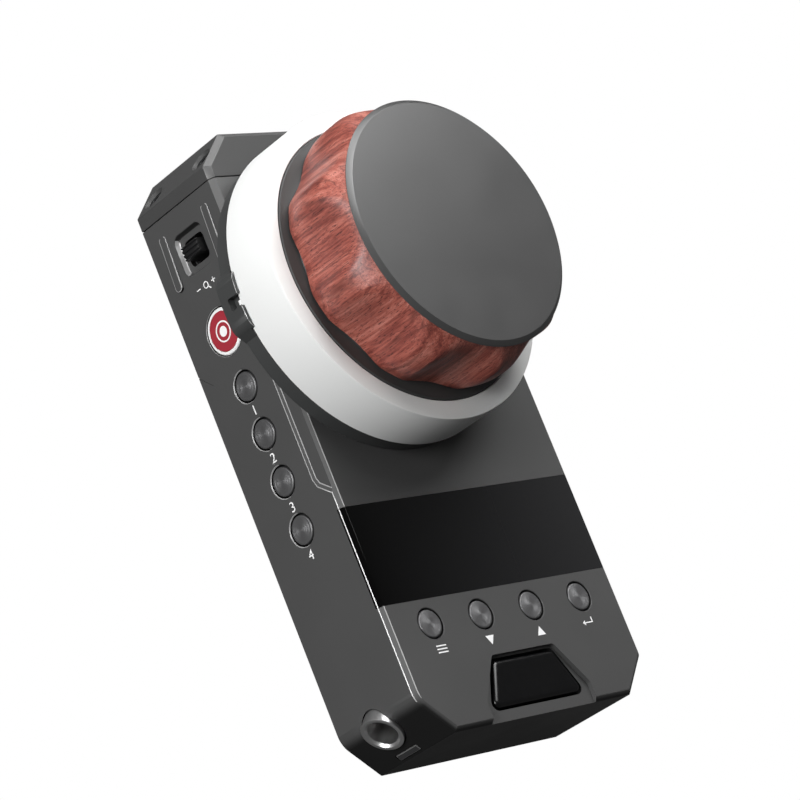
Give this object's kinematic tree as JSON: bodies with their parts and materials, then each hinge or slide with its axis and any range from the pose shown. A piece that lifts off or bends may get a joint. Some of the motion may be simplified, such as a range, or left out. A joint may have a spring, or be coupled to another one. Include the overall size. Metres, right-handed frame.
{
  "type": "follow focus hand unit",
  "caption": "Slim hand unit with a large wooden focus knob, a white marking ring, an index tab, a narrow glass display, push buttons and a zoom rocker.",
  "frame": {"origin": "mouth of the tripod thread in the back cover, on the middle of the case", "axes": "+Z along the knob axis, from the back to the front; +Y along the case to the top cap; +X to the right seen from the front"},
  "size_m": [0.0951, 0.163, 0.0729],
  "materials": {
    "case_metal": "bead-blasted, anodised dark grey",
    "black_metal": "satin, anodised black",
    "screw_steel": "satin",
    "bronze": "turned",
    "glass_black": "polished, blacked out",
    "display": "smooth",
    "circuit_board": "solder mask",
    "switch_black": "moulded",
    "battery_wrap": "shrink film",
    "socket_metal": "polished nickel",
    "port_rubber": "matt",
    "ring_white": "fine matt, writable",
    "grip_wood": "oiled, open grain",
    "cap_metal": "satin, turned bevel",
    "disc_film": "film",
    "lever_black": "ribbed",
    "record_white": "smooth",
    "record_red": "smooth",
    "button_metal": "spun, anodised dark",
    "key_gloss": "polished"
  },
  "bodies": {
    "case": {"main_housing": "case_metal", "top_cap": "case_metal", "top_cap_screws": "screw_steel", "back_cover": "case_metal", "back_cover_screws": "screw_steel", "tripod_insert": "bronze", "screen_glass": "glass_black", "display_module": "display", "front_board": "circuit_board", "front_switches": "switch_black", "side_board": "circuit_board", "side_switches": "switch_black", "battery_pack": "battery_wrap", "main_board": "circuit_board", "aerial": "circuit_board", "data_socket": "socket_metal", "data_socket_insert": "switch_black", "port_cover": "port_rubber", "zoom_pivot_pin": "screw_steel", "zoom_carrier": "case_metal", "zoom_sensor": "circuit_board", "index_ring": "black_metal", "index_ring_screws": "screw_steel", "stop_pin": "screw_steel", "bearing_tube": "black_metal", "bearing_tube_screws": "screw_steel", "shaft_bushes": "bronze", "encoder_reader": "switch_black"},
    "focus_knob": {"marking_ring": "ring_white", "knob_flange": "black_metal", "wood_grip": "grip_wood", "knob_cap": "cap_metal", "knob_shaft": "screw_steel", "shaft_clip": "screw_steel", "encoder_disc": "disc_film", "knob_screws": "screw_steel"},
    "zoom_rocker": {"zoom_lever": "lever_black"},
    "record_button": {"record_rim": "record_white", "record_disc": "record_red"},
    "side_button_1": {"side_button_1": "button_metal"},
    "side_button_2": {"side_button_2": "button_metal"},
    "side_button_3": {"side_button_3": "button_metal"},
    "side_button_4": {"side_button_4": "button_metal"},
    "menu_key": {"menu_key": "button_metal"},
    "down_key": {"down_key": "button_metal"},
    "up_key": {"up_key": "button_metal"},
    "enter_key": {"enter_key": "button_metal"},
    "thumb_key": {"thumb_key": "key_gloss"}
  },
  "joints": [
    {"name": "focus_turn", "type": "hinge", "parent": "case", "child": "focus_knob", "pos_m": [-0.0101, 0.0327, 0.05], "axis": [0, 0, 1], "range_deg": [-150, 150]},
    {"name": "zoom_rock", "type": "hinge", "parent": "case", "child": "zoom_rocker", "pos_m": [-0.033, 0.0566, 0.0148], "axis": [0, 0, 1], "range_deg": [-11, 11], "stiffness_Nm_per_rad": 0.05},
    {"name": "record_press", "type": "slide", "parent": "case", "child": "record_button", "axis": [1, 0, 0], "range_m": [0, 0.0006], "stiffness_N_per_m": 800},
    {"name": "side_press_1", "type": "slide", "parent": "case", "child": "side_button_1", "axis": [1, 0, 0], "range_m": [0, 0.0006], "stiffness_N_per_m": 800},
    {"name": "side_press_2", "type": "slide", "parent": "case", "child": "side_button_2", "axis": [1, 0, 0], "range_m": [0, 0.0006], "stiffness_N_per_m": 800},
    {"name": "side_press_3", "type": "slide", "parent": "case", "child": "side_button_3", "axis": [1, 0, 0], "range_m": [0, 0.0006], "stiffness_N_per_m": 800},
    {"name": "side_press_4", "type": "slide", "parent": "case", "child": "side_button_4", "axis": [1, 0, 0], "range_m": [0, 0.0006], "stiffness_N_per_m": 800},
    {"name": "menu_press", "type": "slide", "parent": "case", "child": "menu_key", "axis": [0, 0, -1], "range_m": [0, 0.0006], "stiffness_N_per_m": 800},
    {"name": "down_press", "type": "slide", "parent": "case", "child": "down_key", "axis": [0, 0, -1], "range_m": [0, 0.0006], "stiffness_N_per_m": 800},
    {"name": "up_press", "type": "slide", "parent": "case", "child": "up_key", "axis": [0, 0, -1], "range_m": [0, 0.0006], "stiffness_N_per_m": 800},
    {"name": "enter_press", "type": "slide", "parent": "case", "child": "enter_key", "axis": [0, 0, -1], "range_m": [0, 0.0006], "stiffness_N_per_m": 800},
    {"name": "thumb_press", "type": "slide", "parent": "case", "child": "thumb_key", "axis": [0, 0, -1], "range_m": [0, 0.0006], "stiffness_N_per_m": 1200}
  ]
}
